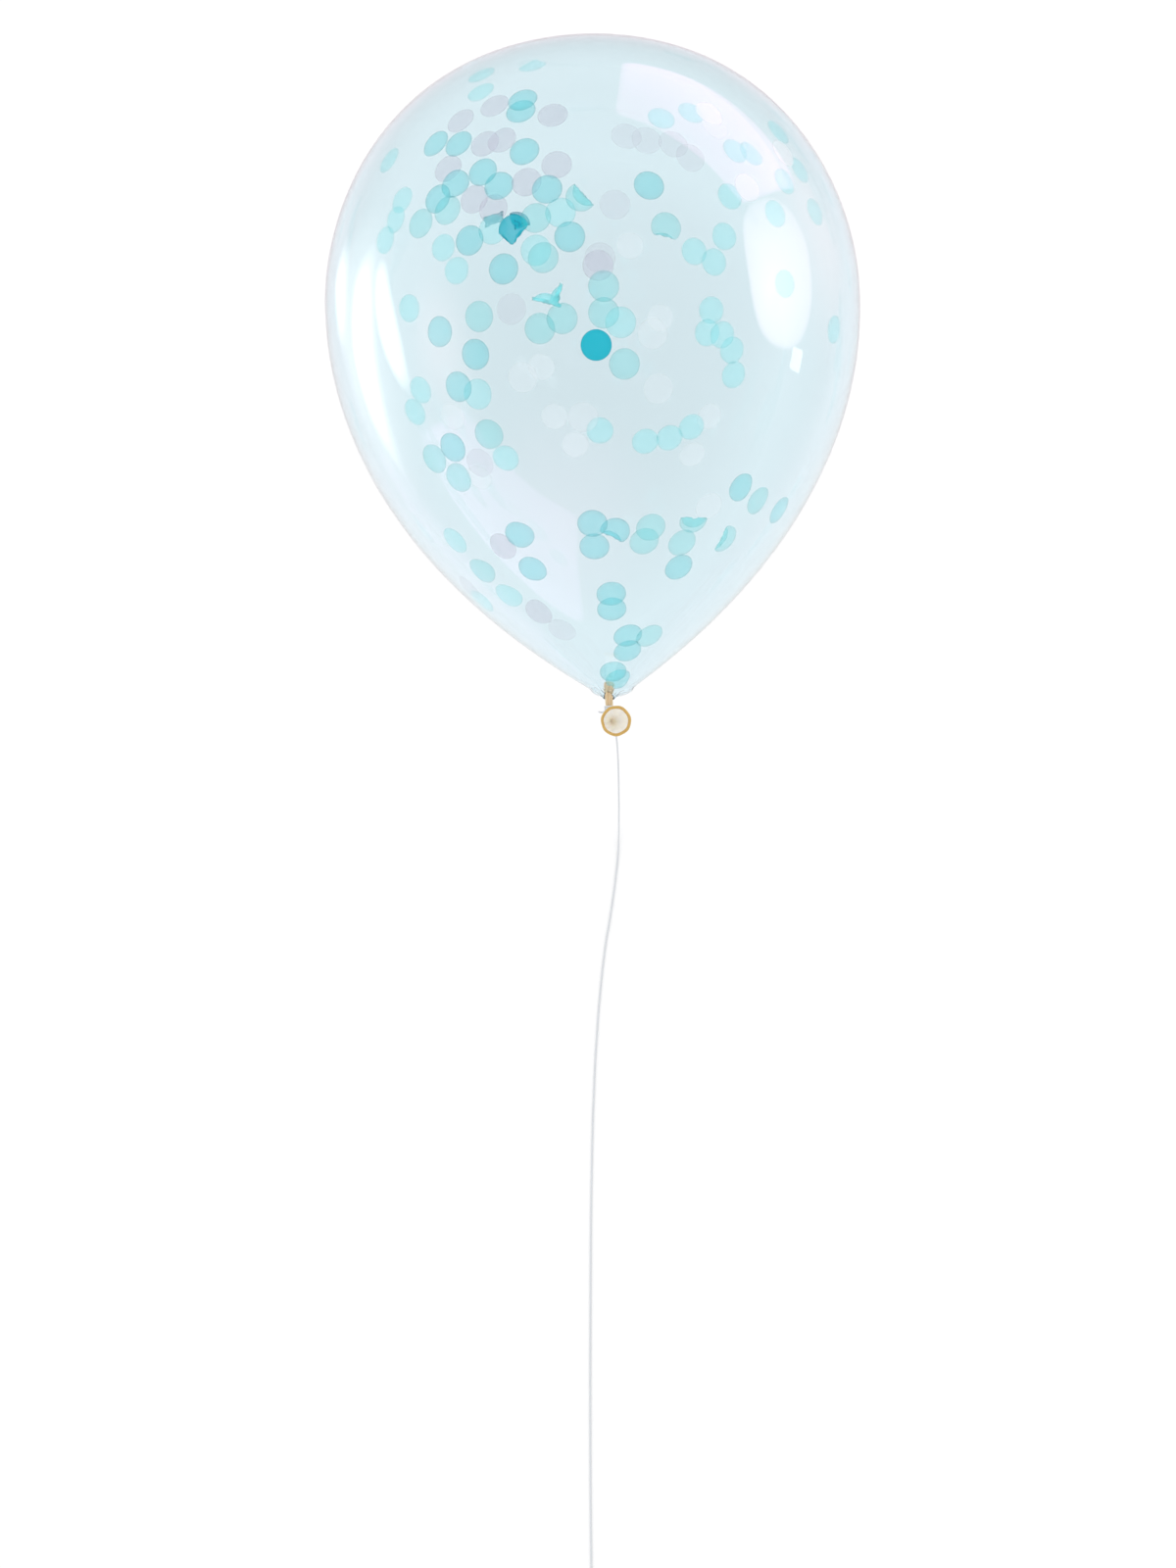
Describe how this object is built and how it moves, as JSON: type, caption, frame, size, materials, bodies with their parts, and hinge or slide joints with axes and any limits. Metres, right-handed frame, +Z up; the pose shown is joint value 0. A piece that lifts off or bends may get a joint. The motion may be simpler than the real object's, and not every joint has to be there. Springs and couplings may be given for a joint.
{
  "type": "confetti balloon",
  "caption": "Clear latex party balloon with confetti inside, lying on its side, its neck tied off with a string that runs along the table to a hand loop.",
  "frame": {"origin": "centre of the flat spot on the balloon's underside that it rests on, below its centre of mass", "axes": "+Z up; +Y along the table from the neck end towards the crown; +X to the right seen from the neck end"},
  "size_m": [0.2812, 0.8136, 0.2809],
  "materials": {
    "clear_latex": "thin clear latex, glossy, faintly blue, milky and cream-coloured where it is thick at the neck and lip",
    "string": "fine twisted white string, matt"
  },
  "bodies": {
    "root": {"balloon": "clear_latex", "string_tie": "string", "string": "string", "string_loop": "string"}
  },
  "joints": []
}
